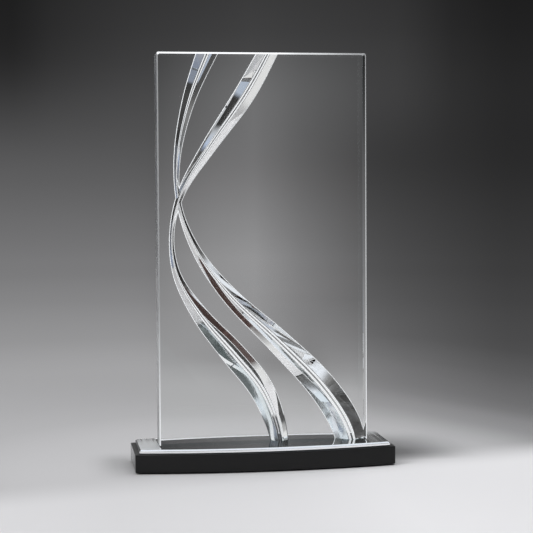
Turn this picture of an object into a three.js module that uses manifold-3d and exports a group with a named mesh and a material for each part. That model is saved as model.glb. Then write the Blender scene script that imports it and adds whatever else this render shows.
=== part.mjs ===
import * as THREE from 'three';
import { mergeVertices } from 'three/addons/utils/BufferGeometryUtils.js';
import Module from 'manifold-3d';

// An award: a clear panel carved with two crossing ribbons, on a polished plate and a black bowed block.
// Millimetres, +Z up, front towards -Y, origin under the middle of the base on the table.

// Clear panel
const panelWidth = 137;
const panelHeight = 254;
const panelThickness = 18;
const panelBevel = 1.2; // flat ground along the front and back edges
const panelCornerCut = 0.8; // small flat on the four corners of the outline
const panelForward = 3; // the panel stands this far in front of the base's middle

// Carved ribbons: V grooves with a narrow flat bottom in the panel's back, seen from the front through the panel
const ribbonWaist = 2.8; // width where a ribbon is narrowest
const ribbonFull = 20; // width where it is widest
const ribbonSlope = THREE.MathUtils.degToRad(54); // lean of each wall of the V from the back face
const ribbonFlat = 0.25; // flat along the bottom of the V, as a share of the ribbon's width
const ribbonOvercut = 1.5; // how far the cutter stands out behind the back face
const ribbonSections = 72;

// Course of each ribbon, from above the panel to below it. Each point has its place across the panel
// (-1 left edge to 1 right edge), its height (0 bottom to 1 top) and its swell (0 waist to 1 full width).
const fallingCourse = [
  [-0.45, 1.04, 0.69],
  [-0.685, 0.88, 0.31],
  [-0.8, 0.73, 0.07],
  [-0.78, 0.61, 0.0],
  [-0.62, 0.495, 0.17],
  [-0.31, 0.38, 0.45],
  [0.16, 0.258, 0.73],
  [0.58, 0.14, 0.93],
  [0.82, 0.04, 1.0],
  [0.92, -0.055, 0.95],
];
const sweepingCourse = [
  [0.15, 1.04, 0.52],
  [-0.14, 0.9, 0.61],
  [-0.5, 0.76, 0.37],
  [-0.76, 0.645, 0.11],
  [-0.855, 0.54, 0.0],
  [-0.81, 0.435, 0.12],
  [-0.59, 0.33, 0.45],
  [-0.28, 0.23, 0.74],
  [-0.01, 0.138, 0.76],
  [0.135, 0.045, 0.59],
  [0.2, -0.05, 0.4],
];

// Polished plate under the panel
const plateThickness = 2.4;
const plateBevel = 0.9; // bright flat along its upper edge
const plateMargin = 2.8; // ledge of the block left showing all round

// Bowed base block
const blockLength = 170;
const blockEndDepth = 45.5; // depth at the two straight ends
const blockBow = 7.6; // how far the front and the back stand out at the middle
const blockHeight = 11.5;
const blockEdge = 0.5; // eased edge, top and bottom
const bowSegments = 24;

// What joins the pieces
const bondThickness = 0.2;
const bondInset = 0.6; // clear of the panel's bevelled bottom edge
const tapeThickness = 0.25;
const tapeInset = 2; // clear of the plate's edge

// Feet
const footDiameter = 12;
const footHeight = 1;
const footInset = 10; // centre of a foot from the straight end and from the end of the bowed side
const footTaper = 0.4; // the foot is this much narrower at the table, on its radius
const footSides = 32;

// Heights of the stack
const blockBottom = footHeight;
const tapeBottom = blockBottom + blockHeight;
const plateBottom = tapeBottom + tapeThickness;
const bondBottom = plateBottom + plateThickness;
const panelBottom = bondBottom + bondThickness;
const panelMiddleY = -panelForward;

const wasm = await Module();
wasm.setup();

function solidFrom(geometry) {
  const bare = geometry.clone();
  bare.deleteAttribute('normal');
  bare.deleteAttribute('uv');
  const merged = mergeVertices(bare, 1e-5);
  const mesh = new wasm.Mesh({
    numProp: 3,
    vertProperties: new Float32Array(merged.attributes.position.array),
    triVerts: new Uint32Array(merged.index.array),
  });
  return new wasm.Manifold(mesh);
}

function geometryFrom(solid) {
  const { vertProperties, triVerts } = solid.getMesh();
  const geometry = new THREE.BufferGeometry();
  geometry.setAttribute('position', new THREE.BufferAttribute(vertProperties, 3));
  geometry.setIndex(new THREE.BufferAttribute(triVerts, 1));
  geometry.computeVertexNormals();
  return geometry;
}

// Outline with two straight ends and an outward arc along the front and the back.
function bowOutline(length, endDepth, bow) {
  const radius = (length * length / 4 + bow * bow) / (2 * bow);
  const centre = radius - bow - endDepth / 2;
  const half = Math.asin(length / 2 / radius);
  const outline = new THREE.Shape();
  outline.absarc(0, centre, radius, -Math.PI / 2 - half, -Math.PI / 2 + half, false);
  outline.absarc(0, -centre, radius, Math.PI / 2 - half, Math.PI / 2 + half, false);
  outline.closePath();
  return outline;
}

// Slab along +Z from 0 to its thickness, with a flat bevel on both rims.
function bevelledSlab(outline, thickness, bevel) {
  const geometry = new THREE.ExtrudeGeometry(outline, {
    depth: thickness - 2 * bevel,
    bevelEnabled: bevel > 0,
    bevelThickness: bevel,
    bevelSize: bevel,
    bevelOffset: -bevel,
    bevelSegments: 1,
    curveSegments: bowSegments,
  });
  return geometry.translate(0, 0, bevel);
}

function boxBetween(low, high) {
  const size = new THREE.Vector3().subVectors(high, low);
  const middle = new THREE.Vector3().addVectors(low, high).multiplyScalar(0.5);
  return new THREE.BoxGeometry(size.x, size.y, size.z).translate(middle.x, middle.y, middle.z);
}

// Cutter for one ribbon: a flat-bottomed V swept along its course, its width following the swell.
function ribbonCutter(course) {
  const points = course.map(([across, up, swell]) => new THREE.Vector3(
    across * panelWidth / 2,
    ribbonWaist + swell * (ribbonFull - ribbonWaist),
    panelBottom + up * panelHeight,
  ));
  const curve = new THREE.CatmullRomCurve3(points);
  const backY = panelMiddleY + panelThickness / 2;
  const slope = Math.tan(ribbonSlope);
  const vertices = [];
  const faces = [];
  for (let i = 0; i <= ribbonSections; i += 1) {
    const at = curve.getPoint(i / ribbonSections);
    const along = curve.getTangent(i / ribbonSections).setY(0).normalize();
    const reach = at.y / 2 + ribbonOvercut / slope;
    const flat = at.y / 2 * ribbonFlat;
    const depth = (at.y / 2 - flat) * slope;
    for (const [across, outY] of [[reach, ribbonOvercut], [-reach, ribbonOvercut], [-flat, -depth], [flat, -depth]]) {
      vertices.push(at.x + along.z * across, backY + outY, at.z - along.x * across);
    }
  }
  const corners = 4;
  for (let i = 0; i < ribbonSections; i += 1) {
    const ring = i * corners;
    for (let side = 0; side < corners; side += 1) {
      const a = ring + side;
      const b = ring + (side + 1) % corners;
      faces.push(a, b, a + corners, b, b + corners, a + corners);
    }
  }
  const last = ribbonSections * corners;
  faces.push(0, 2, 1, 0, 3, 2, last, last + 1, last + 2, last, last + 2, last + 3);
  const geometry = new THREE.BufferGeometry();
  geometry.setAttribute('position', new THREE.Float32BufferAttribute(vertices, 3));
  geometry.setIndex(faces);
  return solidFrom(geometry);
}

function panelOutline() {
  const half = panelWidth / 2;
  const cut = panelCornerCut;
  const outline = new THREE.Shape();
  outline.moveTo(-half + cut, 0);
  outline.lineTo(half - cut, 0);
  outline.lineTo(half, cut);
  outline.lineTo(half, panelHeight - cut);
  outline.lineTo(half - cut, panelHeight);
  outline.lineTo(-half + cut, panelHeight);
  outline.lineTo(-half, panelHeight - cut);
  outline.lineTo(-half, cut);
  outline.closePath();
  return outline;
}

function crystalPanel(cutters) {
  const slab = bevelledSlab(panelOutline(), panelThickness, panelBevel);
  slab.rotateX(Math.PI / 2);
  slab.translate(0, panelMiddleY + panelThickness / 2, panelBottom);
  return cutters.reduce((body, cutter) => body.subtract(cutter), solidFrom(slab));
}

// The film fills the flat of the panel's underside, and stops where the ribbons run off the edge.
function panelBond(cutters) {
  const halfWidth = panelWidth / 2 - panelBevel - bondInset;
  const halfDepth = panelThickness / 2 - panelBevel - bondInset;
  const film = boxBetween(
    new THREE.Vector3(-halfWidth, panelMiddleY - halfDepth, bondBottom),
    new THREE.Vector3(halfWidth, panelMiddleY + halfDepth, panelBottom),
  );
  return cutters.reduce((body, cutter) => body.subtract(cutter), solidFrom(film));
}

// Only the upper rim of the plate is bevelled, so the lower bevel of the slab is cut away.
function topPlate() {
  const length = blockLength - 2 * plateMargin;
  const endDepth = blockEndDepth - 2 * plateMargin;
  const slab = bevelledSlab(bowOutline(length, endDepth, blockBow), plateThickness + plateBevel, plateBevel);
  slab.translate(0, 0, plateBottom - plateBevel);
  const below = boxBetween(
    new THREE.Vector3(-length, -length, plateBottom - 2 * plateBevel),
    new THREE.Vector3(length, length, plateBottom),
  );
  return solidFrom(slab).subtract(solidFrom(below));
}

function plateTape() {
  const inset = plateMargin + tapeInset;
  const outline = bowOutline(blockLength - 2 * inset, blockEndDepth - 2 * inset, blockBow);
  return bevelledSlab(outline, tapeThickness, 0).translate(0, 0, tapeBottom);
}

function baseBlock() {
  const outline = bowOutline(blockLength, blockEndDepth, blockBow);
  return bevelledSlab(outline, blockHeight, blockEdge).translate(0, 0, blockBottom);
}

function foot() {
  const radius = footDiameter / 2;
  const disc = new THREE.CylinderGeometry(radius, radius - footTaper, footHeight, footSides);
  return disc.rotateX(Math.PI / 2).translate(0, 0, footHeight / 2);
}

const finishes = {
  crystal: { color: 0xeef3f2, roughness: 0.02, metalness: 0, transparent: true, opacity: 0.35 },
  bond: { color: 0xf4f6f4, roughness: 0.1, metalness: 0, transparent: true, opacity: 0.4 },
  polishedPlate: { color: 0xc9cbcd, roughness: 0.1, metalness: 1 },
  tape: { color: 0x303030, roughness: 0.9, metalness: 0 },
  blackBlock: { color: 0x121213, roughness: 0.35, metalness: 0 },
  rubber: { color: 0x1a1a1a, roughness: 0.85, metalness: 0 },
};

const award = new THREE.Group();

function addPiece(name, geometry, finish) {
  const mesh = new THREE.Mesh(geometry, new THREE.MeshStandardMaterial(finish));
  mesh.name = name;
  award.add(mesh);
  return mesh;
}

const cutters = [fallingCourse, sweepingCourse].map(ribbonCutter);

addPiece('crystal_panel', geometryFrom(crystalPanel(cutters)), finishes.crystal);
addPiece('panel_bond', geometryFrom(panelBond(cutters)), finishes.bond);
addPiece('top_plate', geometryFrom(topPlate()), finishes.polishedPlate);
addPiece('plate_tape', plateTape(), finishes.tape);
addPiece('base_block', baseBlock(), finishes.blackBlock);

for (const [end, sideX] of [['left', -1], ['right', 1]]) {
  for (const [face, sideY] of [['front', -1], ['back', 1]]) {
    const disc = addPiece(`foot_${face}_${end}`, foot(), finishes.rubber);
    disc.position.x = sideX * (blockLength / 2 - footInset);
    disc.position.y = sideY * (blockEndDepth / 2 - footInset);
  }
}

export default award;
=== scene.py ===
import bpy
import bmesh
import math
from mathutils import Matrix, Vector


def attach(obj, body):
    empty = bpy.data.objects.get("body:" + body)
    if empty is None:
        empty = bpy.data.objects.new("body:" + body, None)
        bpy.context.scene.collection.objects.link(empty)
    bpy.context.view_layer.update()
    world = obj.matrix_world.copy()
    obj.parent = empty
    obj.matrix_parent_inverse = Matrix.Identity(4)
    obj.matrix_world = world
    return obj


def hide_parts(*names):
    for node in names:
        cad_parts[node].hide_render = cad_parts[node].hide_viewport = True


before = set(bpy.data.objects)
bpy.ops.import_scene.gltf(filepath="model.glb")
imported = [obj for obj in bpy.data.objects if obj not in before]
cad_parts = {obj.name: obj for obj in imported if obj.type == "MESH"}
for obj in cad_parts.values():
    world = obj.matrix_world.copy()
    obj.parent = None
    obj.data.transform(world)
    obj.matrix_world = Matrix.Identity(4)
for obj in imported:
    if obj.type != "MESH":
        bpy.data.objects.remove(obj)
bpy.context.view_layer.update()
scene = bpy.context.scene
scene.view_settings.view_transform = "Standard"
mm = 0.001
print("frame loaded:", len(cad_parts), "nodes")


def placed(name, data):
    body = bpy.data.objects.new(name, data)
    scene.collection.objects.link(body)
    return body


# camera, solved from the corners of the panel, the plate and the block
cameraValues = {
    "spot": (-0.14729, -0.95472, 0.18876),
    "yaw": 0.157,  # to the right of +Y, radians
    "pitch": 0.0402,  # down
    "roll": -0.0053,
    "sensor": 36,
    "lens": 99.43,
    "shiftUp": -0.0563,
}


def makeCamera(values):
    yaw, pitch, roll = values["yaw"], values["pitch"], values["roll"]
    ahead = Vector((math.sin(yaw) * math.cos(pitch), math.cos(yaw) * math.cos(pitch), -math.sin(pitch)))
    across = Vector((math.cos(yaw), -math.sin(yaw), 0))
    up = across.cross(ahead)
    acrossRolled = across * math.cos(roll) + up * math.sin(roll)
    upRolled = up * math.cos(roll) - across * math.sin(roll)
    data = bpy.data.cameras.new("camera")
    data.sensor_width = values["sensor"]
    data.lens = values["lens"]
    data.shift_y = values["shiftUp"]
    camera = placed("camera", data)
    turn = Matrix((acrossRolled, upRolled, -ahead)).transposed()
    camera.matrix_world = Matrix.Translation(values["spot"]) @ turn.to_4x4()
    scene.camera = camera


makeCamera(cameraValues)
print("camera set")


# node helpers
def addNode(tree, kind, **inputs):
    node = tree.nodes.new(kind)
    for key, value in inputs.items():
        node.inputs[key.replace("_", " ")].default_value = value
    return node


def mathNode(tree, operation, first, second=None):
    node = tree.nodes.new("ShaderNodeMath")
    node.operation = operation
    for socket, value in zip(node.inputs, (first, second)):
        if value is None:
            continue
        if isinstance(value, (int, float)):
            socket.default_value = value
        else:
            tree.links.new(value, socket)
    return node.outputs[0]


def mixColours(tree, kind, factor, first, second):
    node = tree.nodes.new("ShaderNodeMix")
    node.data_type = "RGBA"
    node.blend_type = kind
    for place, value in ((0, factor), (6, first), (7, second)):  # the colour sockets of this node
        if isinstance(value, (int, float, tuple)):
            node.inputs[place].default_value = value
        else:
            tree.links.new(value, node.inputs[place])
    return node.outputs[2]


def times(tree, first, second):
    return mathNode(tree, "MULTIPLY", first, second)


def blend(tree, factor, first, second):
    return mixColours(tree, "MIX", factor, first, second)


def tinted(tree, first, second):
    return mixColours(tree, "MULTIPLY", 1.0, first, second)


def grey(level):
    return (level, level, level, 1)


def rangeNode(tree, value, low, high, kind="LINEAR"):
    node = addNode(tree, "ShaderNodeMapRange", From_Min=low, From_Max=high)
    node.interpolation_type = kind
    tree.links.new(value, node.inputs["Value"])
    return node


def smoothBetween(tree, value, low, high):
    return rangeNode(tree, value, low, high, "SMOOTHSTEP").outputs[0]


def curveRamp(tree, value, stops):
    low, high = stops[0][0], stops[-1][0]
    node = tree.nodes.new("ShaderNodeValToRGB")
    ramp = node.color_ramp
    while len(ramp.elements) < len(stops):
        ramp.elements.new(0.5)
    for element, (at, tone) in zip(ramp.elements, stops):
        element.position = (at - low) / (high - low)
        element.color = (*tone, 1) if isinstance(tone, tuple) else grey(tone)
    tree.links.new(rangeNode(tree, value, low, high).outputs[0], node.inputs["Fac"])
    return node.outputs["Color"]


def partsOf(tree, kind, name):
    node = tree.nodes.new("ShaderNodeSeparateXYZ")
    tree.links.new(tree.nodes.new(kind).outputs[name], node.inputs[0])
    return node.outputs


def facingOf(tree):
    return partsOf(tree, "ShaderNodeNewGeometry", "Normal")


def worldPlace(tree):
    return partsOf(tree, "ShaderNodeNewGeometry", "Position")


def objectPlace(tree):
    return partsOf(tree, "ShaderNodeTexCoord", "Object")


def bumpNode(tree, height, strength, distance):
    node = addNode(tree, "ShaderNodeBump", Strength=strength, Distance=distance)
    tree.links.new(height, node.inputs["Height"])
    return node.outputs[0]


def newMaterial(name):
    material = bpy.data.materials.new(name)
    material.use_nodes = True
    tree = material.node_tree
    tree.nodes.clear()
    output = tree.nodes.new("ShaderNodeOutputMaterial")
    shader = tree.nodes.new("ShaderNodeBsdfPrincipled")
    tree.links.new(shader.outputs[0], output.inputs["Surface"])
    return material, tree, shader


def mixShaders(tree, factor, first, second):
    pick = tree.nodes.new("ShaderNodeMixShader")
    tree.links.new(factor, pick.inputs["Fac"])
    tree.links.new(first.outputs[0], pick.inputs[1])
    tree.links.new(second.outputs[0], pick.inputs[2])
    tree.links.new(pick.outputs[0], tree.nodes["Material Output"].inputs["Surface"])


# shared finish effects
effectValues = {
    "noiseSpan": (0.3, 0.7),  # where most of the noise lies
    "noiseDetail": 4.0,
    "noiseRough": 0.6,
    "raised": (0.52, 0.6),  # pointiness along a raised edge
    "wearAndHighlightScale": 160.0,
    "wearAndHighlightDetail": 5.0,
}


def newGroup(name, inputs, outputs):
    group = bpy.data.node_groups.new(name, "ShaderNodeTree")
    for label, kind, start in inputs:
        socket = group.interface.new_socket(label, in_out="INPUT", socket_type=kind)
        socket.default_value = start
    for label, kind in outputs:
        group.interface.new_socket(label, in_out="OUTPUT", socket_type=kind)
    return group, group.nodes.new("NodeGroupInput"), group.nodes.new("NodeGroupOutput")


def fineGrainGroup(values):
    inputs = [
        ("Scale", "NodeSocketFloat", 900.0),
        ("Along", "NodeSocketVector", (1, 1, 1)),
        ("Low", "NodeSocketFloat", 0.2),
        ("High", "NodeSocketFloat", 0.4),
    ]
    outputs = [("Value", "NodeSocketFloat"), ("Height", "NodeSocketFloat")]
    group, given, result = newGroup("fineGrain", inputs, outputs)
    links = group.links
    place = group.nodes.new("ShaderNodeTexCoord")
    stretch = group.nodes.new("ShaderNodeVectorMath")
    stretch.operation = "MULTIPLY"
    links.new(place.outputs["Object"], stretch.inputs[0])
    links.new(given.outputs["Along"], stretch.inputs[1])
    detail, rough = values["noiseDetail"], values["noiseRough"]
    noise = addNode(group, "ShaderNodeTexNoise", Detail=detail, Roughness=rough)
    links.new(stretch.outputs[0], noise.inputs["Vector"])
    links.new(given.outputs["Scale"], noise.inputs["Scale"])
    spread = rangeNode(group, noise.outputs[0], *values["noiseSpan"])
    links.new(given.outputs["Low"], spread.inputs["To Min"])
    links.new(given.outputs["High"], spread.inputs["To Max"])
    links.new(spread.outputs[0], result.inputs["Value"])
    links.new(noise.outputs[0], result.inputs["Height"])
    return group


# lighter in patches along raised edges: edge wear and a painted edge highlight
def edgeWearAndHighlightGroup(values):
    inputs = [
        ("Body", "NodeSocketColor", (0.02, 0.02, 0.02, 1)),
        ("Edge", "NodeSocketColor", (0.2, 0.2, 0.2, 1)),
        ("Amount", "NodeSocketFloat", 0.5),
    ]
    group, given, result = newGroup("edgeWearAndHighlight", inputs, [("Color", "NodeSocketColor")])
    links = group.links
    shape = group.nodes.new("ShaderNodeNewGeometry")
    raised = rangeNode(group, shape.outputs["Pointiness"], *values["raised"])
    place = group.nodes.new("ShaderNodeTexCoord")
    noise = addNode(group, "ShaderNodeTexNoise", Scale=values["wearAndHighlightScale"], Detail=values["wearAndHighlightDetail"])
    links.new(place.outputs["Object"], noise.inputs["Vector"])
    mask = times(group, times(group, raised.outputs[0], noise.outputs[0]), given.outputs["Amount"])
    links.new(blend(group, mask, given.outputs["Body"], given.outputs["Edge"]), result.inputs["Color"])
    return group


fineGrain = fineGrainGroup(effectValues)
edgeWearAndHighlight = edgeWearAndHighlightGroup(effectValues)


def placeGroup(tree, group, **inputs):
    node = tree.nodes.new("ShaderNodeGroup")
    node.node_tree = group
    for key, value in inputs.items():
        node.inputs[key].default_value = value
    return node


def grainOf(tree, finish, **inputs):
    low, high = finish["grain"]
    return placeGroup(tree, fineGrain, Scale=finish["grainScale"], Low=low, High=high, **inputs)


# base colour with edge wear and a painted edge highlight
def wearAndHighlightOf(tree, finish):
    wearAndHighlight = placeGroup(tree, edgeWearAndHighlight, Body=finish["body"], Edge=finish["edge"], Amount=finish["wearAndHighlight"])
    return wearAndHighlight.outputs["Color"]


# clear crystal
crystalFinish = {
    "bend": 1.52,
    "tint": (0.985, 0.995, 0.992, 1),
    "shade": (0.96, 0.975, 0.975, 1),
    "grainScale": 40.0,
    "grain": (0.985, 1.0),  # faint smears in the tint
    "veil": 0.3,  # a face seen almost edge on looks slightly misty
    "veilFrom": (0.86, 0.92),
}
# the film is sunk in the panel, so it bends no light
bondFinish = {**crystalFinish, "bend": 1.0, "tint": (0.935, 0.975, 0.98, 1), "grain": (0.93, 1.0)}


def clearMaterial(name, finish):
    material, tree, shader = newMaterial(name)
    shader.inputs["Transmission Weight"].default_value = 1
    shader.inputs["IOR"].default_value = finish["bend"]
    tint = tinted(tree, finish["tint"], grainOf(tree, finish).outputs["Value"])
    tree.links.new(tint, shader.inputs["Base Color"])
    ray = tree.nodes.new("ShaderNodeLightPath")
    slant = addNode(tree, "ShaderNodeLayerWeight", Blend=0.5)
    veil = times(tree, smoothBetween(tree, slant.outputs["Facing"], *finish["veilFrom"]), finish["veil"])
    tree.links.new(times(tree, veil, ray.outputs["Is Camera Ray"]), shader.inputs["Roughness"])
    clear = addNode(tree, "ShaderNodeBsdfTransparent", Color=finish["shade"])
    mixShaders(tree, ray.outputs["Is Shadow Ray"], shader, clear)
    return material


crystal = clearMaterial("clearCrystal", crystalFinish)
bondFilm = clearMaterial("bondFilm", bondFinish)


# ground lips and strips of the crystal, with a painted glow and painted shade at the lower end of the left
# ribbon
groundAndPaintedGlowFinish = {
    "bend": 1.52,
    "body": (0.93, 0.945, 0.96, 1),
    "edge": (1, 1, 1, 1),
    "wearAndHighlight": 0.4,
    "clear": 0.1,
    "grainScale": 300.0,
    "grain": (0.5, 0.56),
    "glow": 0.42,  # painted glow, in place of light that the clear body carries to them
    # painted shade: the lower end of the left ribbon gets little of the glow, up to there and across to
    # there in metres
    "paintedShade": (0.04, 0.045, 0.05, 1),
    "paintedShadeUp": (0.0305, 0.034),
    "paintedShadeAcross": (0.025, 0.03),
}


def groundAndPaintedGlowMaterial(finish):
    material, tree, shader = newMaterial("groundCrystalPaintedGlow")
    shader.inputs["Transmission Weight"].default_value = finish["clear"]
    shader.inputs["IOR"].default_value = finish["bend"]
    tree.links.new(grainOf(tree, finish).outputs["Value"], shader.inputs["Roughness"])
    x, _, z = worldPlace(tree)
    above = smoothBetween(tree, z, *finish["paintedShadeUp"])
    lit = mathNode(tree, "MAXIMUM", above, smoothBetween(tree, x, *finish["paintedShadeAcross"]))
    # painted shade at the lower end of the left ribbon, over edge wear and painted edge highlight
    body = blend(tree, lit, finish["paintedShade"], wearAndHighlightOf(tree, finish))
    tree.links.new(body, shader.inputs["Base Color"])
    # painted glow: the strips emit their own colour
    tree.links.new(body, shader.inputs["Emission Color"])
    shader.inputs["Emission Strength"].default_value = finish["glow"]
    return material


# ground strips and lips with a painted glow
ground = groundAndPaintedGlowMaterial(groundAndPaintedGlowFinish)


# bevels round the front, with painted glow along their length in place of what the panel carries to them
bevelFinish = {
    "bend": 1.52,
    "clear": 0.1,
    "grainScale": 300.0,
    "grain": (0.5, 0.55),
    "body": (0.26, 0.265, 0.27, 1),
    "shade": (0.22, 0.225, 0.23, 1),
    "light": (0.96, 0.98, 1.0, 1),
    "topFacing": 0.3,  # the top bevel faces up by more than this
    # painted brightness of the top bevel from left to right, and of the side bevels from bottom to top, in
    # metres
    "top": [
        (-0.07, 0.85), (0.012, 0.82), (0.0255, 0.5), (0.0386, 0.42), (0.052, 0.2), (0.0615, 0.1),
        (0.07, 0.08),
    ],
    "left": [(0.015, 0.62), (0.035, 0.58), (0.071, 0.34), (0.11, 0.11), (0.27, 0.1)],
    "right": [
        (0.015, 0.78), (0.033, 0.78), (0.071, 0.68), (0.11, 0.52), (0.15, 0.5), (0.188, 0.42),
        (0.226, 0.4), (0.252, 0.3), (0.27, 0.26),
    ],
}


def bevelMaterial(finish):
    material, tree, shader = newMaterial("groundBevelPaintedGlow")
    shader.inputs["Transmission Weight"].default_value = finish["clear"]
    shader.inputs["IOR"].default_value = finish["bend"]
    grain = grainOf(tree, finish).outputs["Value"]
    tree.links.new(grain, shader.inputs["Roughness"])
    x, _, z = worldPlace(tree)
    facing = facingOf(tree)
    onRight = mathNode(tree, "GREATER_THAN", facing[0], 0.0)
    onTop = mathNode(tree, "GREATER_THAN", facing[2], finish["topFacing"])
    sides = blend(tree, onRight, curveRamp(tree, z, finish["left"]), curveRamp(tree, z, finish["right"]))
    level = blend(tree, onTop, sides, curveRamp(tree, x, finish["top"]))
    # painted glow: the bevels emit the painted brightness
    tree.links.new(tinted(tree, level, finish["light"]), shader.inputs["Emission Color"])
    shader.inputs["Emission Strength"].default_value = 1
    tree.links.new(blend(tree, grain, finish["body"], finish["shade"]), shader.inputs["Base Color"])
    return material


bevelled = bevelMaterial(bevelFinish)


# mirror polished metal, with a painted glow along its back rim
plateFinish = {
    "body": (0.925, 0.94, 0.95, 1),
    "edge": (0.96, 0.96, 0.96, 1),
    "wearAndHighlight": 0.5,
    "grainScale": 700.0,
    "grain": (0.72, 1.28),
    "brush": (1.0, 0.03, 1.0),  # the marks run from front to back
    "bump": (0.05, 0.0001),
    "polish": 0.07,
    "level": (0.9, 0.98),  # the top faces up by more than this, and the bevel is polished all along
    # duller strip along the back rim, which also has a painted glow, from its middle and its bend in
    # metres
    "rim": (0.0222, 0.0242),
    "rimBend": 1.125,
    "rimRough": 0.6,
    "rimGlow": (0.36, 0.37, 0.38, 1),  # painted glow, in place of light that the panel throws on it
    # the two ends, from where the panel stops, and their roughness from front to back in metres
    "ends": (0.0675, 0.0695),
    "leftEnd": [(-0.025, 0.52), (0.0, 0.42), (0.013, 0.32), (0.02, 0.28)],
    "rightEnd": [(-0.025, 0.2), (0.006, 0.22), (0.02, 0.42)],
}


def polishedMetal(finish):
    material, tree, shader = newMaterial("polishedMetal")
    shader.inputs["Metallic"].default_value = 1
    tree.links.new(wearAndHighlightOf(tree, finish), shader.inputs["Base Color"])
    grain = grainOf(tree, finish, Along=finish["brush"])
    x, y, _ = objectPlace(tree)
    level = smoothBetween(tree, facingOf(tree)[2], *finish["level"])
    fromRim = mathNode(tree, "ADD", y, times(tree, times(tree, x, x), finish["rimBend"]))
    strip = times(tree, smoothBetween(tree, fromRim, *finish["rim"]), level)
    rough = blend(tree, strip, grey(finish["polish"]), grey(finish["rimRough"]))
    for end, side in (("leftEnd", -1.0), ("rightEnd", 1.0)):
        beyond = smoothBetween(tree, times(tree, x, side), *finish["ends"])
        rough = blend(tree, times(tree, beyond, level), rough, curveRamp(tree, y, finish[end]))
        strip = times(tree, strip, mathNode(tree, "SUBTRACT", 1.0, beyond))
    tree.links.new(tinted(tree, rough, grain.outputs["Value"]), shader.inputs["Roughness"])
    # painted glow along the rim strip
    tree.links.new(blend(tree, strip, grey(0), finish["rimGlow"]), shader.inputs["Emission Color"])
    shader.inputs["Emission Strength"].default_value = 1
    tree.links.new(bumpNode(tree, grain.outputs["Height"], *finish["bump"]), shader.inputs["Normal"])
    return material


metal = polishedMetal(plateFinish)


# black satin lacquer
blockFinish = {
    "body": (0.009, 0.009, 0.0092, 1),
    "edge": (0.07, 0.07, 0.07, 1),
    "wearAndHighlight": 0.6,
    "shine": 0.25,
    "grainScale": 700.0,
    "grain": (0.28, 0.38),
    "bump": (0.12, 0.0002),
    "endGloss": 0.65,  # how much smoother the two ends are
    "endFacing": (0.8, 0.95),  # an end faces sideways by more than this
}


def satinBlack(finish):
    material, tree, shader = newMaterial("satinBlack")
    shader.inputs["Specular IOR Level"].default_value = finish["shine"]
    tree.links.new(wearAndHighlightOf(tree, finish), shader.inputs["Base Color"])
    grain = grainOf(tree, finish)
    end = smoothBetween(tree, mathNode(tree, "ABSOLUTE", facingOf(tree)[0]), *finish["endFacing"])
    gloss = mathNode(tree, "SUBTRACT", 1.0, times(tree, end, finish["endGloss"]))
    tree.links.new(times(tree, grain.outputs["Value"], gloss), shader.inputs["Roughness"])
    tree.links.new(bumpNode(tree, grain.outputs["Height"], *finish["bump"]), shader.inputs["Normal"])
    return material


lacquer = satinBlack(blockFinish)


# what can hardly be seen: the feet and the adhesive sheet
rubberFinish = {
    "body": (0.025, 0.025, 0.026, 1),
    "edge": (0.08, 0.08, 0.08, 1),
    "wearAndHighlight": 0.5,
    "grainScale": 1200.0,
    "grain": (0.7, 0.95),
    "bump": (0.4, 0.0003),
}
sheetFinish = {
    "body": (0.04, 0.04, 0.042, 1),
    "edge": (0.1, 0.1, 0.1, 1),
    "wearAndHighlight": 0.5,
    "grainScale": 900.0,
    "grain": (0.6, 0.8),
    "bump": (0.3, 0.0003),
}


def dullMaterial(name, finish):
    material, tree, shader = newMaterial(name)
    tree.links.new(wearAndHighlightOf(tree, finish), shader.inputs["Base Color"])
    grain = grainOf(tree, finish)
    tree.links.new(grain.outputs["Value"], shader.inputs["Roughness"])
    tree.links.new(bumpNode(tree, grain.outputs["Height"], *finish["bump"]), shader.inputs["Normal"])
    return material


rubber = dullMaterial("footRubber", rubberFinish)
sheet = dullMaterial("adhesiveSheet", sheetFinish)
print("finishes made")


# mesh helpers
def piece(name, mesh, material, node):
    mesh.materials.clear()
    mesh.materials.append(material)
    body = placed(name, mesh)
    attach(body, "root")
    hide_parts(node)


def loftMesh(name, rings):
    shell = bmesh.new()
    rows = [[shell.verts.new(point) for point in ring] for ring in rings]
    count = len(rings[0])
    for low, high in zip(rows, rows[1:]):
        for i in range(count):
            j = (i + 1) % count
            shell.faces.new((low[i], low[j], high[j], high[i]))
    shell.faces.new(list(reversed(rows[0])))
    shell.faces.new(rows[-1])
    bmesh.ops.recalc_face_normals(shell, faces=shell.faces)
    mesh = bpy.data.meshes.new(name)
    shell.to_mesh(mesh)
    shell.free()
    return mesh


def smoothUpTo(mesh, degrees):
    mesh.shade_smooth()
    mesh.set_sharp_from_angle(angle=math.radians(degrees))


def quarterTurn(steps):
    return [math.pi / 2 * i / steps for i in range(steps + 1)]


# bowed outline: straight ends, an outward arc along the front and the back, small rounds at the corners
bowValues = {
    "corner": 0.8,
    "cornerSteps": 5,
    "arcSteps": 120,
}


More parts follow.
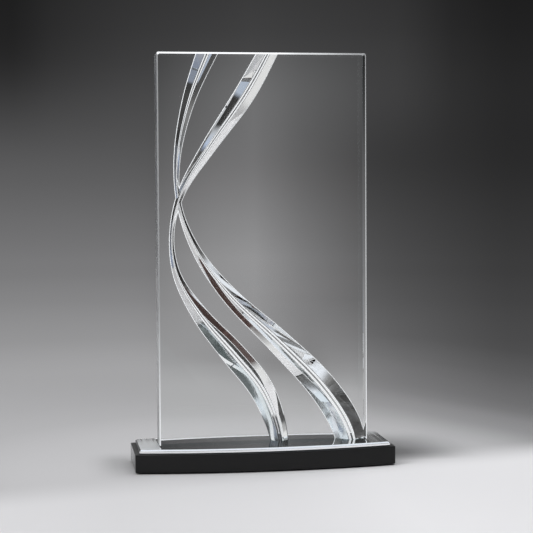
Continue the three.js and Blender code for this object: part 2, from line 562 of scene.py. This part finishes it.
def bowRing(length, endDepth, bow, inset, z):
    corner, steps, arcSteps = bowValues["corner"], bowValues["cornerSteps"], bowValues["arcSteps"]
    radius = (length * length / 4 + bow * bow) / (2 * bow)
    centre = radius - bow - endDepth / 2
    reach = radius - inset
    halfLength = length / 2 - inset
    turn = math.asin(halfLength / reach)
    arc = turn - corner / reach
    angles = [-arc + 2 * arc * i / arcSteps for i in range(arcSteps + 1)]
    front = [(reach * math.sin(a), centre - reach * math.cos(a)) for a in angles]
    edgeY = centre - reach * math.cos(turn)
    start, tip, end = front[-1], (halfLength, edgeY), (halfLength, edgeY + corner)
    right = []
    for i in range(1, steps):
        t = i / steps
        first, second, third = (1 - t) ** 2, 2 * t * (1 - t), t * t
        right.append(tuple(first * a + second * b + third * c for a, b, c in zip(start, tip, end)))
    right.append(end)
    half = front + right
    half += [(x, -y) for x, y in reversed(right)]
    back = [(x, -y) for x, y in reversed(front)]
    left = [(-x, -y) for x, y in right]
    left += [(-x, y) for x, y in reversed(right)]
    return [(x * mm, y * mm, z * mm) for x, y in half + back + left]


def bowMesh(name, values, profile):
    outline = values["length"], values["endDepth"], values["bow"]
    mesh = loftMesh(name, [bowRing(*outline, inset, z) for inset, z in profile])
    smoothUpTo(mesh, values["smoothTo"])
    return mesh


# base block
blockValues = {
    "length": 170,
    "endDepth": 45.5,
    "bow": 7.6,
    "bottom": 1,
    "height": 11.5,
    "edge": 0.5,
    "edgeSteps": 4,
    "hold": 0.3,  # rings this far from an eased edge keep the faces beside it flat
    "cap": 2.5,  # inset of the flat faces that close it
    "smoothTo": 40,
}


def makeBlock(values):
    bottom, top = values["bottom"], values["bottom"] + values["height"]
    edge, hold, cap = values["edge"], values["hold"], values["cap"]
    angles = quarterTurn(values["edgeSteps"])
    profile = [(cap, bottom), (edge + hold, bottom)]
    profile += [(edge * (1 - math.sin(a)), bottom + edge * (1 - math.cos(a))) for a in angles]
    profile += [(0, bottom + edge + hold), (0, top - edge - hold)]
    profile += [(edge * (1 - math.cos(a)), top - edge * (1 - math.sin(a))) for a in angles]
    profile += [(edge + hold, top), (cap, top)]
    mesh = bowMesh("baseBlock", values, profile)
    piece("baseBlock", mesh, lacquer, "base_block")


makeBlock(blockValues)
print("block made")


# polished plate with a bright bevel round its upper edge
plateValues = {
    "length": 164.4,
    "endDepth": 39.9,
    "bow": 7.6,
    "bottom": 12.75,
    "thickness": 2.42,  # a hair more than in the CAD, so that the panel stands in it
    "bevel": 0.9,
    "ease": 0.12,
    "easeAcross": 0.3,  # shares of the ease where an eased corner of the bevel starts and ends
    "easeAlong": 0.4,
    "lowCap": 2.5,  # inset of the flat faces that close it
    "topCap": 3.5,
    "smoothTo": 12,
}


def makePlate(values):
    bottom, top = values["bottom"], values["bottom"] + values["thickness"]
    bevel, ease = values["bevel"], values["ease"]
    across, along = ease * values["easeAcross"], ease * values["easeAlong"]
    profile = [(values["lowCap"], bottom), (ease, bottom), (0, bottom + ease), (0, top - bevel - ease)]
    profile += [(across, top - bevel + along), (bevel - along, top - across)]
    profile += [(bevel + ease, top), (values["topCap"], top)]
    mesh = bowMesh("polishedPlate", values, profile)
    piece("polishedPlate", mesh, metal, "top_plate")


makePlate(plateValues)
print("plate made")


# crystal panel with two ribbons of V section carved into its back
panelValues = {
    "width": 137,
    "height": 254,
    "thickness": 18,
    "bevel": 1.2,
    "sideBevel": 0.8,  # width of the same bevel across the two sides
    "backBevel": 0.15,
    "cornerCut": 0.8,
    "forward": 3,
    "bottom": 15.35,
    "sink": 0.2,  # through the bond, so that the crystal meets the metal
    "smoothTo": 5,
    "flatFacing": 0.99999,  # the front and the back face forwards or backwards by more than this
    # a front bevel faces forwards by this much, and down by no more than this
    "bevelFacing": (-0.9, -0.3),
    "bevelUp": -0.6,
}
ribbonValues = {
    "waist": 2.8,
    "full": 20,
    "slope": 54,
    "overcut": 1.5,
    "margin": 0.02,  # the cutter is this much wider behind the back face
    "bend": 0.25,  # share of the half width where a wall starts to bend into the bottom of the V
    "strip": 0.2,  # share where the ground strip along the bottom starts
    "gap": 0.06,  # share of the clear gap between the two strips
    "lip": 0.5,  # ground rounding where a wall meets the back face
    "lipSteps": 4,
    "bendSteps": 4,
    "sections": 320,
    "evenOut": 24,  # rounds that even out the small changes of bend at the points
    # across -1 to 1, up 0 to 1, swell 0 to 1
    "falling": [
        (-0.45, 1.04, 0.69), (-0.685, 0.88, 0.31), (-0.8, 0.73, 0.07), (-0.78, 0.61, 0.0),
        (-0.62, 0.495, 0.17), (-0.31, 0.38, 0.45), (0.16, 0.258, 0.73), (0.58, 0.14, 0.93),
        (0.82, 0.04, 1.0), (0.92, -0.055, 0.95),
    ],
    "sweeping": [
        (0.15, 1.04, 0.52), (-0.14, 0.9, 0.61), (-0.5, 0.76, 0.37), (-0.76, 0.645, 0.11),
        (-0.855, 0.54, 0.0), (-0.81, 0.435, 0.12), (-0.59, 0.33, 0.45), (-0.28, 0.23, 0.74),
        (-0.01, 0.138, 0.76), (0.135, 0.045, 0.59), (0.2, -0.05, 0.4),
    ],
}


def curvePoint(points, t):
    spans = len(points) - 1
    i = min(int(t * spans), spans - 1)
    u = t * spans - i
    p1, p2 = points[i], points[i + 1]
    p0 = points[i - 1] if i > 0 else p1 * 2 - p2
    p3 = points[i + 2] if i + 2 <= spans else p2 * 2 - p1
    d0, d1, d2 = ((b - a).length ** 0.5 for a, b in ((p0, p1), (p1, p2), (p2, p3)))
    m1 = ((p1 - p0) / d0 - (p2 - p0) / (d0 + d1) + (p2 - p1) / d1) * d1
    m2 = ((p2 - p1) / d1 - (p3 - p1) / (d1 + d2) + (p3 - p2) / d2) * d1
    return p1 + m1 * u + (p2 * 3 - p1 * 3 - m1 * 2 - m2) * u ** 2 + (p1 * 2 - p2 * 2 + m1 + m2) * u ** 3


def ribbonLine(course, ribbon, panel):
    points = []
    for across, up, swell in course:
        width = ribbon["waist"] + swell * (ribbon["full"] - ribbon["waist"])
        points.append(Vector((across * panel["width"] / 2, width, panel["bottom"] + up * panel["height"])))
    count = ribbon["sections"]
    line = [curvePoint(points, i / count) for i in range(count + 1)]
    for _ in range(ribbon["evenOut"]):
        inner = [line[i] * 0.5 + (line[i - 1] + line[i + 1]) * 0.25 for i in range(1, count)]
        line = [line[0], *inner, line[-1]]
    return line


# from behind the back face down one wall to the middle of the V, and the same up the other wall
def ribbonSection(half, ribbon):
    slope, lip = math.radians(ribbon["slope"]), ribbon["lip"]
    share, flat = ribbon["bend"], ribbon["strip"]
    wallDepth = half * (1 - share) * math.tan(slope)
    bend = half * (share - flat) / math.sin(slope)
    rim = half + lip * math.tan(slope / 2)
    section = [(rim + ribbon["margin"], ribbon["overcut"])]
    for step in range(ribbon["lipSteps"] + 1):  # round from the back face into the wall
        a = slope * step / ribbon["lipSteps"]
        section.append((rim - lip * math.sin(a), -lip * (1 - math.cos(a))))
    for step in range(ribbon["bendSteps"] + 1):  # bend from the wall into the flat
        a = slope * (1 - step / ribbon["bendSteps"])
        depth = wallDepth + bend * (math.cos(a) - math.cos(slope))
        section.append((half * flat + bend * math.sin(a), -depth))
    section.append((half * ribbon["gap"], section[-1][1]))
    return section + [(-x, y) for x, y in reversed(section)]


def ribbonCutter(name, ribbon, panel):
    line = ribbonLine(ribbon[name], ribbon, panel)
    backY = panel["thickness"] / 2 - panel["forward"]
    rings = []
    for i, at in enumerate(line):
        along = line[min(i + 1, len(line) - 1)] - line[max(i - 1, 0)]
        along.y = 0
        along.normalize()
        section = ribbonSection(at.y / 2, ribbon)
        points = [(at.x + along.z * x, backY + y, at.z - along.x * x) for x, y in section]
        rings.append([(x * mm, y * mm, z * mm) for x, y, z in points])
    mesh = loftMesh(name, rings)
    count = len(rings[0])
    middle = count // 2 - 1
    for face in mesh.polygons:  # the lips and the two strips are ground
        out = abs(face.index % count - middle)
        onLip = middle - ribbon["lipSteps"] - 1 < out < middle
        face.material_index = 1 if out == 1 or onLip else 0
    for material in (crystal, ground):
        mesh.materials.append(material)
    return placed(name, mesh)


def panelRing(panel, side, inset, y):
    half, cut = panel["width"] / 2 - side, panel["cornerCut"]
    low = panel["bottom"] - panel["sink"]  # square where it meets the plate
    high = panel["bottom"] + panel["height"] - inset
    outline = [
        (-half + cut, low), (half - cut, low), (half, low + cut), (half, high - cut),
        (half - cut, high), (-half + cut, high), (-half, high - cut), (-half, low + cut),
    ]
    return [(x * mm, (y - panel["forward"]) * mm, z * mm) for x, z in outline]


def carvedMesh(panel, ribbon):
    half, bevel, back = panel["thickness"] / 2, panel["bevel"], panel["backBevel"]
    places = [(panel["sideBevel"], bevel, -half), (0, 0, -half + bevel)]
    places += [(0, 0, half - back), (back, back, half)]
    slab = placed("slab", loftMesh("crystalPanel", [panelRing(panel, *place) for place in places]))
    for material in (crystal, ground):
        slab.data.materials.append(material)
    cutters = [ribbonCutter(name, ribbon, panel) for name in ("falling", "sweeping")]
    for cutter in cutters:
        cut = slab.modifiers.new(cutter.name, "BOOLEAN")
        cut.object = cutter
        cut.operation = "DIFFERENCE"
        cut.solver = "MANIFOLD"
    depsgraph = bpy.context.evaluated_depsgraph_get()
    mesh = bpy.data.meshes.new_from_object(slab.evaluated_get(depsgraph))
    mesh.name = "crystalPanel"
    for spare in (slab, *cutters):
        bpy.data.objects.remove(spare)
    return mesh


def makePanel(panel, ribbon):
    mesh = carvedMesh(panel, ribbon)
    smoothUpTo(mesh, panel["smoothTo"])
    flats = bmesh.new()
    flats.from_mesh(mesh)
    for edge in flats.edges:  # the flat faces stay flat beside the rounded lips
        if any(abs(face.normal.y) > panel["flatFacing"] for face in edge.link_faces):
            edge.smooth = False
    flats.to_mesh(mesh)
    flats.free()
    carved = [face.material_index for face in mesh.polygons]
    piece("crystalPanel", mesh, crystal, "crystal_panel")
    for material in (ground, bevelled):
        mesh.materials.append(material)
    most, least = panel["bevelFacing"]
    for face, mark in zip(mesh.polygons, carved):
        onBevel = most < face.normal.y < least and face.normal.z > panel["bevelUp"]
        face.material_index = 2 if onBevel else mark
    groundFaces = sum(face.material_index > 0 for face in mesh.polygons)
    print("panel faces:", len(mesh.polygons), "ground:", groundFaces)


makePanel(panelValues, ribbonValues)
print("panel made")


# carried over from the frame
def dress(node, material):
    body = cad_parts[node]
    body.data.materials.clear()
    body.data.materials.append(material)


dress("panel_bond", bondFilm)
dress("plate_tape", sheet)
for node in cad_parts:
    if node.startswith("foot_"):
        dress(node, rubber)
print("film, sheet and feet dressed")


# floor that sweeps up into a backdrop, pale round the award and darker away from it
stageValues = {
    "radius": 2.4,
    "sweep": 0.5,
    "height": 2.6,
    "floorRings": (0.05, 0.3, 0.8),
    "sweepSteps": 16,
    "wallRings": (0.9, 1.4),
    "roofRise": (1.15, 1.2),  # half way in and at the middle, by the height of the wall
    "sides": 96,
    "viewer": (-0.147, -0.955),
    "middle": 0.14,  # about half the award's height
    "paper": (1.0, 0.997, 1.02, 1),
    "rough": 0.9,
    "shine": 0.1,
    # beyond these distances it shows the painted tone and not the light that falls on it
    "shownFrom": (0.25, 0.6),
    "shownInGlass": (0.16, 0.26),
    # brightness along the floor and up the wall, behind the award, by metres from its middle
    "behind": [
        (0.0, 0.57), (0.16, 0.475), (0.22, 0.42), (0.3, 0.395), (0.5, 0.375), (0.78, 0.3),
        (1.32, 0.237), (2.07, 0.19), (2.3, 0.149), (2.47, 0.113), (2.62, 0.086), (2.75, 0.065),
        (2.85, 0.047), (2.92, 0.038), (3.0, 0.032), (3.3, 0.022), (4.0, 0.018),
    ],
    # share of it across the view, by degrees to the right of straight ahead, low down and high up
    "acrossLow": [
        (-90, 0.8), (-20, 0.9), (-4, 1.0), (4, 1.0), (9, 0.68), (14.2, 0.38), (16.1, 0.3), (18, 0.235),
        (30, 0.2), (90, 0.3),
    ],
    "acrossHigh": [
        (-90, 0.36), (-8, 0.36), (-0.5, 0.42), (0.6, 0.64), (1.8, 0.79), (3.7, 1.0), (8.5, 1.35),
        (14.2, 0.98), (16.1, 0.57), (18, 0.4), (30, 0.35), (90, 0.35),
    ],
    "lowToHigh": (0.2, 0.5),
    # how far that share counts, by metres to the back and the right, and in full higher up
    "darkSide": [
        (0.36, 0.0), (0.41, 0.1), (0.5, 0.4), (0.57, 0.5), (0.64, 0.68), (0.71, 0.77), (0.84, 0.84),
        (1.0, 0.93), (1.3, 1.0),
    ],
    "darkSideLean": 2.0,
    "darkSideUp": (0.1, 0.4),
    # brightness of the floor in front of the award, by metres to the right of its middle
    "before": [
        (-0.4, 0.56), (-0.2, 0.59), (-0.1, 0.61), (0.0, 0.69), (0.06, 0.765), (0.2, 0.775), (0.5, 0.67),
    ],
    "beforeLean": 0.25,  # where it ends: the lean of that line, and how it softens away from the award
    "beforeSoft": (0.0, 0.07),
    "beforeWiden": 3.3,
    # shade on the floor at the two ends of the base, across and from front to back in metres
    "shadeRight": [
        (0.06, 0.0), (0.08, 0.5), (0.088, 0.63), (0.104, 0.62), (0.115, 0.5), (0.126, 0.34),
        (0.137, 0.16), (0.15, 0.03), (0.16, 0.0),
    ],
    "shadeRightDeep": [
        (-0.024, 0.0), (-0.009, 0.1), (0.004, 0.68), (0.017, 0.98), (0.03, 1.0), (0.045, 0.85),
        (0.06, 0.7), (0.076, 0.42), (0.093, 0.1), (0.105, 0.0),
    ],
    "shadeLeft": [
        (-0.117, 0.0), (-0.109, 0.05), (-0.103, 0.15), (-0.096, 0.28), (-0.088, 0.28), (-0.08, 0.2),
        (-0.07, 0.0),
    ],
    "shadeLeftDeep": [
        (-0.05, 0.0), (-0.035, 0.15), (-0.022, 0.47), (-0.01, 0.74), (0.002, 0.96), (0.015, 1.0),
        (0.028, 0.9), (0.041, 0.46), (0.052, 0.1), (0.06, 0.0),
    ],
    # glow on the backdrop right behind the panel, across the view and along the floor and up the wall
    "glowAcross": [
        (3.6, 0.0), (5.0, 0.42), (7.0, 1.1), (8.5, 1.55), (9.5, 1.3), (10.3, 1.05), (11.5, 0.8),
        (12.5, 0.62), (14.0, 0.0),
    ],
    "glowUp": [
        (0.55, 0.0), (0.8, 0.3), (1.3, 0.55), (2.1, 0.9), (2.6, 1.0), (2.78, 0.95), (2.95, 0.75),
        (3.2, 0.4),
    ],
    # and on the floor behind its lower right corner
    "lowGlowAcross": [(10.6, 0.0), (11.4, 0.25), (12.2, 0.36), (13.2, 0.36), (14.0, 0.0)],
    "lowGlowUp": [(0.16, 0.0), (0.3, 0.8), (0.5, 1.0), (0.8, 0.5), (1.3, 0.0)],
    "glowBehind": (0.0, 0.12),
    # what the plate sees above the backdrop, by degrees across the view
    "aboveBehind": [(-16, 0.85), (13, 0.85), (17, 0.3)],
    "aboveFrom": (11.5, 16),
    # what glass and metal see away from the backdrop: each zone, its angle, 1 right or -1 left, its start
    "zones": [
        ("rightSide", "turn", 1.0, (13.5, 17)),
        ("rightFront", "bearing", 1.0, (98, 106)),
        ("viewerRight", "bearing", 1.0, (146, 154)),
        ("viewerMiddle", "bearing", 1.0, (170.5, 172)),
        ("leftSide", "turn", -1.0, (10, 16)),
        ("leftFront", "bearing", -1.0, (132, 140)),
        ("viewerLeft", "bearing", -1.0, (165, 168)),
    ],
    # and their tones, by degrees of height above the award's middle
    "rightSide": [
        (-60, 0.8), (-8, 0.76), (-1, 0.62), (3.5, 0.07), (6, 0.045), (24, 0.045), (45, 0.035),
        (60, 0.1),
    ],
    "rightFront": [
        (-60, 0.78), (-40, 0.76), (-33, 0.08), (-18, 0.06), (-16.3, 0.1), (-14.5, 0.2), (-12, 0.16),
        (-6, 0.22), (-3, 0.18), (6, 0.03), (38, 0.035), (41, 0.065), (43.5, 0.14), (48, 0.22),
        (60, 0.25),
    ],
    "viewerRight": [
        (-60, 0.78), (-21.5, 0.74), (-18, 0.45), (-15.8, (0.08, 0.053, 0.049)),
        (-5, (0.076, 0.049, 0.045)), (1, (0.06, 0.038, 0.034)), (6, 0.02), (7.8, 0.02),
        (9, (0.44, 0.5, 0.6)), (12.2, (0.44, 0.5, 0.6)), (13.2, 0.03), (23, 0.035),
        (24.5, (0.5, 0.52, 0.55)), (26.5, (0.45, 0.53, 0.68)), (28.5, (0.15, 0.17, 0.22)), (30, 0.07),
        (36, 0.11), (60, 0.12),
    ],
    "viewerMiddle": [
        (-60, 0.78), (-19, 0.74), (-15.5, 0.45), (-13, (0.08, 0.053, 0.049)),
        (-5, (0.076, 0.049, 0.045)), (1, (0.06, 0.038, 0.034)), (6, 0.02), (14, 0.02),
        (19, (0.45, 0.5, 0.56)), (28, (0.5, 0.53, 0.58)), (31, 0.14), (38, 0.13), (60, 0.2),
    ],
    "leftSide": [
        (-60, 0.8), (-26, 0.7), (-21, 0.56), (-19, 0.45), (-17.5, (0.24, 0.27, 0.34)),
        (-11, (0.27, 0.32, 0.42)), (-5, (0.2, 0.22, 0.26)), (0, (0.13, 0.135, 0.15)),
        (8, (0.15, 0.16, 0.18)), (10.5, (0.14, 0.15, 0.17)), (13.5, 0.06), (31.2, 0.05), (60, 0.05),
    ],
    "leftFront": [
        (-60, 0.8), (-20, 0.72), (-12, (0.55, 0.52, 0.6)), (-5, (0.62, 0.64, 0.72)), (10, 0.62),
        (20, 0.65), (35, 0.45), (60, 0.4),
    ],
    "viewerLeft": [
        (-60, 0.78), (-20, 0.7), (-13, 0.12), (-2, (0.1, 0.115, 0.115)), (8, (0.1, 0.115, 0.115)),
        (17, (0.15, 0.165, 0.165)), (28, (0.15, 0.165, 0.165)), (40, 0.1), (60, 0.12),
    ],
    # higher up on the left, by degrees to the right of straight behind
    "leftHigh": [
        (-180, 0.1), (-124, 0.1), (-119, (0.24, 0.27, 0.33)), (-110, (0.24, 0.27, 0.33)), (-103, 0.04),
        (0, 0.04),
    ],
    "leftHighFrom": (31.2, 32.4),
    # uneven tone of the room that the facets see in those zones
    "unevenScale": 3.0,
    "unevenDetail": 3.0,
    "unevenNoise": (0.35, 0.65),
    "uneven": (0.65, 1.35),
    "unevenFrom": (-15, -9),
    # height where the overhead light starts, in degrees, by degrees to the right of straight behind
    "overhead": [
        (-180, 57), (-160, 62), (-145, 63), (-130, 58), (-124, 48), (-116, 46.5), (-86, 46.5),
        (-81, 37.5), (-66, 39), (-60, 46), (-50, 49), (-43, 50), (30, 46), (60, 48), (120, 48),
        (142, 49.5), (155, 51), (180, 57),
    ],
    "overheadSoft": (-3, 3),
    "overheadTone": (0.84, 0.88, 0.94, 1),
}


def angleOf(tree, across, along):
    return mathNode(tree, "DEGREES", mathNode(tree, "ARCTAN2", across, along))


def stagePlaces(tree, values):
    x, y, z = objectPlace(tree)
    away = mathNode(tree, "SQRT", mathNode(tree, "ADD", times(tree, x, x), times(tree, y, y)))
    fromX, fromY = values["viewer"]
    return {
        "x": x,
        "y": y,
        "z": z,
        "away": away,
        "path": mathNode(tree, "ADD", away, z),  # along the floor and up the wall
        "turn": angleOf(tree, mathNode(tree, "SUBTRACT", x, fromX), mathNode(tree, "SUBTRACT", y, fromY)),
        "bearing": angleOf(tree, x, y),
        "climb": angleOf(tree, mathNode(tree, "SUBTRACT", z, values["middle"]), away),
    }


def plainTone(tree, values, at):
    x, y, z, turn = at["x"], at["y"], at["z"], at["turn"]
    low, high = curveRamp(tree, turn, values["acrossLow"]), curveRamp(tree, turn, values["acrossHigh"])
    across = blend(tree, smoothBetween(tree, z, *values["lowToHigh"]), low, high)
    reach = mathNode(tree, "ADD", y, times(tree, x, values["darkSideLean"]))
    up = smoothBetween(tree, z, *values["darkSideUp"])
    counts = mathNode(tree, "MAXIMUM", curveRamp(tree, reach, values["darkSide"]), up)
    share = blend(tree, counts, grey(1), across)
    behind = tinted(tree, curveRamp(tree, at["path"], values["behind"]), share)
    ahead = mathNode(tree, "SUBTRACT", times(tree, x, values["beforeLean"]), y)
    wider = mathNode(tree, "MAXIMUM", times(tree, at["away"], values["beforeWiden"]), 1.0)
    front = smoothBetween(tree, mathNode(tree, "DIVIDE", ahead, wider), *values["beforeSoft"])
    level = blend(tree, front, behind, curveRamp(tree, x, values["before"]))
    plain = tinted(tree, level, values["paper"])
    # painted shade on the floor at the two ends of the base
    for end in ("shadeRight", "shadeLeft"):
        shade = times(tree, curveRamp(tree, x, values[end]), curveRamp(tree, y, values[end + "Deep"]))
        plain = blend(tree, shade, plain, grey(0))
    return plain


def backdropTone(tree, values, at, plain):
    # painted glow on the backdrop behind the panel and on the floor behind its lower right corner
    glow = grey(0)
    for kind in ("glow", "lowGlow"):
        across = curveRamp(tree, at["turn"], values[kind + "Across"])
        part = tinted(tree, across, curveRamp(tree, at["path"], values[kind + "Up"]))
        glow = mixColours(tree, "ADD", 1.0, glow, part)
    glow = tinted(tree, glow, smoothBetween(tree, at["y"], *values["glowBehind"]))
    return tinted(tree, plain, mixColours(tree, "ADD", 1.0, glow, grey(1)))


def unevenTone(tree, values, at):
    place = tree.nodes.new("ShaderNodeTexCoord")
    scale, detail = values["unevenScale"], values["unevenDetail"]
    patches = addNode(tree, "ShaderNodeTexNoise", Scale=scale, Detail=detail)
    tree.links.new(place.outputs["Object"], patches.inputs["Vector"])
    spread = rangeNode(tree, patches.outputs[0], *values["unevenNoise"])
    for name, value in zip(("To Min", "To Max"), values["uneven"]):
        spread.inputs[name].default_value = value
    above = smoothBetween(tree, at["climb"], *values["unevenFrom"])
    return blend(tree, above, grey(1), spread.outputs[0])


def aroundTone(tree, values, at, backdrop):
    climb, bearing = at["climb"], at["bearing"]
    above = curveRamp(tree, at["turn"], values["aboveBehind"])
    around = blend(tree, smoothBetween(tree, climb, *values["aboveFrom"]), backdrop, above)
    uneven = unevenTone(tree, values, at)
    for zone, way, side, starts in values["zones"]:
        there = smoothBetween(tree, times(tree, at[way], side), *starts)
        around = blend(tree, there, around, tinted(tree, curveRamp(tree, climb, values[zone]), uneven))
        if zone == "leftSide":
            upThere = times(tree, there, smoothBetween(tree, climb, *values["leftHighFrom"]))
            around = blend(tree, upThere, around, curveRamp(tree, bearing, values["leftHigh"]))
    full = 90.0  # the degrees go through the ramp as shares of a right angle
    stops = [(turn, up / full) for turn, up in values["overhead"]]
    start = times(tree, curveRamp(tree, bearing, stops), full)
    lit = smoothBetween(tree, mathNode(tree, "SUBTRACT", climb, start), *values["overheadSoft"])
    return blend(tree, lit, around, values["overheadTone"])


def stagePaper(values):
    material, tree, shader = newMaterial("stagePaper")
    at = stagePlaces(tree, values)
    plain = plainTone(tree, values, at)
    backdrop = backdropTone(tree, values, at, plain)
    around = aroundTone(tree, values, at, backdrop)
    tree.links.new(plain, shader.inputs["Base Color"])
    shader.inputs["Roughness"].default_value = values["rough"]
    shader.inputs["Specular IOR Level"].default_value = values["shine"]
    ray = tree.nodes.new("ShaderNodeLightPath").outputs
    straight = mathNode(tree, "LESS_THAN", ray["Glossy Depth"], 0.5)  # no reflection on the way
    shown = addNode(tree, "ShaderNodeEmission", Strength=1.0)
    tone = blend(tree, ray["Is Camera Ray"], blend(tree, straight, around, backdrop), plain)
    tree.links.new(tone, shown.inputs["Color"])
    mirrored = mathNode(tree, "MAXIMUM", ray["Is Glossy Ray"], ray["Is Transmission Ray"])
    seen = mathNode(tree, "MAXIMUM", ray["Is Camera Ray"], mirrored)
    inGlass = mathNode(tree, "SUBTRACT", 1.0, ray["Is Camera Ray"])
    nearer = times(tree, inGlass, smoothBetween(tree, at["path"], *values["shownInGlass"]))
    far = mathNode(tree, "MAXIMUM", smoothBetween(tree, at["path"], *values["shownFrom"]), nearer)
    mixShaders(tree, times(tree, seen, far), shader, shown)
    return material


def makeStage(values):
    radius, sweep, height = values["radius"], values["sweep"], values["height"]
    foot, inner = radius - sweep, values["floorRings"][0]
    halfWay, highest = values["roofRise"]
    bend = quarterTurn(values["sweepSteps"])
    profile = [(ring, 0) for ring in values["floorRings"]]
    profile += [(foot + sweep * math.sin(a), sweep * (1 - math.cos(a))) for a in bend]
    profile += [(radius, ring) for ring in (*values["wallRings"], height)]
    profile += [(radius / 2, height * halfWay), (inner, height * highest)]
    turns = [2 * math.pi * i / values["sides"] for i in range(values["sides"])]
    mesh = loftMesh("stage", [[(r * math.cos(a), r * math.sin(a), z) for a in turns] for r, z in profile])
    mesh.shade_smooth()
    mesh.materials.append(stagePaper(values))
    stage = placed("stage", mesh)


makeStage(stageValues)
print("stage made")


# soft studio light: a wide box overhead and a smaller one on the left
lightValues = {
    "above": {"spot": (0.0, 0.0, 1.45), "aim": (0, 0, 0), "size": (2.2, 2.2), "level": 1.8},
    "left": {"spot": (-1.0, -0.45, 0.75), "aim": (0, 0, 0.02), "size": (0.6, 0.6), "level": 8.0},
}
roomValues = {
    "tone": (0.9, 0.95, 1, 1),
    "level": 0.06,
    "bounces": 24,  # the carved crystal needs many
    "mirrorBounces": 16,
}


def softLight(name, values):
    data = bpy.data.lights.new(name, "AREA")
    data.shape = "RECTANGLE"
    data.size, data.size_y = values["size"]
    data.energy = values["level"] * math.pi * data.size * data.size_y
    lamp = placed(name, data)
    lamp.location = values["spot"]
    aim = Vector(values["aim"]) - Vector(values["spot"])
    lamp.rotation_euler = aim.to_track_quat("-Z", "Y").to_euler()
    lamp.visible_camera = False
    lamp.visible_glossy = False  # the dome shows the light in reflections
    lamp.visible_transmission = False


def makeRoom(values):
    world = bpy.data.worlds.new("room")
    world.use_nodes = True
    background = world.node_tree.nodes["Background"]
    background.inputs["Color"].default_value = values["tone"]
    background.inputs["Strength"].default_value = values["level"]
    scene.world = world
    scene.cycles.max_bounces = values["bounces"]
    scene.cycles.glossy_bounces = values["mirrorBounces"]
    scene.cycles.transmission_bounces = values["bounces"]


for name, values in lightValues.items():
    softLight(name, values)
makeRoom(roomValues)
print("light set")
